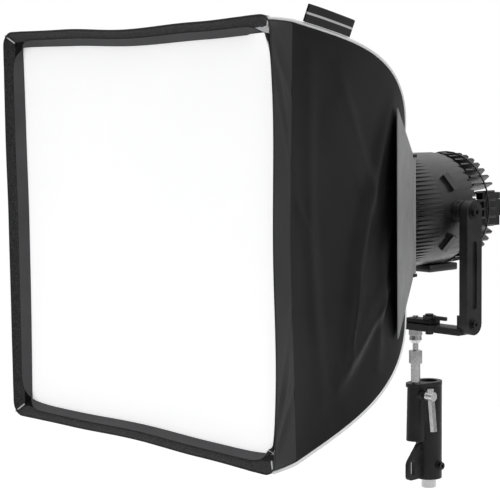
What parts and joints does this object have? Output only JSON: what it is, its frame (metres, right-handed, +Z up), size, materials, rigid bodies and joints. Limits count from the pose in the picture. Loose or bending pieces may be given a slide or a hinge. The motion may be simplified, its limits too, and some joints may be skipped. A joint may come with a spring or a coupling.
{
  "type": "studio softbox",
  "caption": "Square black fabric softbox with white diffuser on a finned round lamp head, carried by a tilting yoke, spigot and stand adapter.",
  "frame": {"origin": "centre of the flat lower end of the stand stud", "axes": "+Z up along the stud; the light points along -Y; +X is the side with the adapter's T-handle"},
  "size_m": [0.607, 0.732, 0.7929],
  "materials": {
    "black_nylon": "satin",
    "loop_band": "matte",
    "white_diffuser": "matte",
    "pale_webbing": "matte",
    "flex_rod": "satin",
    "grey_sheet": "satin",
    "bare_aluminium": "satin",
    "black_anodised": "satin",
    "black_casting": "satin",
    "black_steel": "satin",
    "bright_steel": "brushed",
    "lens_glass": "clear",
    "black_plastic": "matte",
    "led_board": "matte"
  },
  "bodies": {
    "stand": {"stand_stud": "bright_steel"},
    "adapter": {"stand_adapter": "black_casting"},
    "lower_screw": {"stud_clamp_screw": "black_steel"},
    "pad": {"pressure_pad": "bright_steel"},
    "t_lock": {"t_screw": "bright_steel", "t_handle": "bright_steel"},
    "yoke": {"spigot": "bright_steel", "yoke_crossbar": "black_steel", "yoke_arm_near": "black_casting", "yoke_arm_far": "black_casting", "hub_bolt_near": "bright_steel", "hub_bolt_far": "bright_steel", "clamp_block": "black_steel", "clamp_bolt": "bright_steel"},
    "bar_lever": {"clamp_lever": "black_steel"},
    "near_leaf": {"leaf_near": "grey_sheet"},
    "far_leaf": {"leaf_far": "grey_sheet"},
    "head": {"body_foot": "black_anodised", "body_shell": "black_anodised", "corner_rod_far_bottom": "flex_rod", "corner_rod_far_top": "flex_rod", "corner_rod_near_bottom": "flex_rod", "corner_rod_near_top": "flex_rod", "door_frame": "black_anodised", "fin_ring": "black_anodised", "frame_rod_bottom": "flex_rod", "frame_rod_far": "flex_rod", "frame_rod_near": "flex_rod", "frame_rod_top": "flex_rod", "front_diffuser": "white_diffuser", "heat_spreader": "bare_aluminium", "inner_baffle": "white_diffuser", "label_tag": "black_nylon", "leaf_bottom": "grey_sheet", "leaf_pin_bottom": "bright_steel", "leaf_pin_far": "bright_steel", "leaf_pin_near": "bright_steel", "leaf_pin_top": "bright_steel", "leaf_top": "grey_sheet", "led_module": "led_board", "lens_ring": "black_anodised", "lip_bottom": "loop_band", "lip_far": "loop_band", "lip_near": "loop_band", "lip_top": "loop_band", "pivot_boss_far": "black_anodised", "pivot_boss_near": "black_anodised", "power_inlet": "black_plastic", "pull_strap": "pale_webbing", "rear_heatsink": "black_anodised", "rear_sleeve": "black_nylon", "reflector": "bare_aluminium", "ribbed_barrel": "black_anodised", "side_panel_bottom": "black_nylon", "side_panel_far": "black_nylon", "side_panel_near": "black_nylon", "side_panel_top": "black_nylon", "stepped_lens": "lens_glass", "tilt_bolt_far": "bright_steel", "tilt_bolt_near": "bright_steel"}
  },
  "joints": [
    {"name": "adapter_turn", "type": "hinge", "parent": "stand", "child": "adapter", "pos_m": [0, 0, 0.06], "axis": [0, 0, 1], "continuous": true},
    {"name": "head_pan", "type": "hinge", "parent": "adapter", "child": "yoke", "pos_m": [0, -0.034, 0.15], "axis": [0, 0, 1], "continuous": true},
    {"name": "head_tilt", "type": "hinge", "parent": "yoke", "child": "head", "pos_m": [0, -0.034, 0.4835], "axis": [-1, 0, 0], "range_deg": [-30, 90]},
    {"name": "near_leaf_swing", "type": "hinge", "parent": "head", "child": "near_leaf", "pos_m": [0.107, -0.1595, 0.4835], "axis": [0, 0, 1], "range_deg": [0, 85]},
    {"name": "far_leaf_swing", "type": "hinge", "parent": "head", "child": "far_leaf", "pos_m": [-0.107, -0.1595, 0.4835], "axis": [0, 0, -1], "range_deg": [0, 85]},
    {"name": "t_handle_turn", "type": "hinge", "parent": "pad", "child": "t_lock", "pos_m": [0.0345, -0.034, 0.167], "axis": [1, 0, 0], "range_deg": [0, 360]},
    {"name": "pad_travel", "type": "slide", "parent": "adapter", "child": "pad", "axis": [1, 0, 0], "range_m": [0, 0.002]},
    {"name": "lower_screw_turn", "type": "hinge", "parent": "adapter", "child": "lower_screw", "pos_m": [0.02, 0, 0.041], "axis": [1, 0, 0], "range_deg": [0, 360]},
    {"name": "bar_lever_turn", "type": "hinge", "parent": "yoke", "child": "bar_lever", "pos_m": [0.031, -0.034, 0.3019], "axis": [0, 0, 1], "range_deg": [-60, 60]}
  ],
  "couplings": [
    {"joint": "pad_travel", "follows": "t_handle_turn", "m_per_rad": 0.00027852}
  ]
}
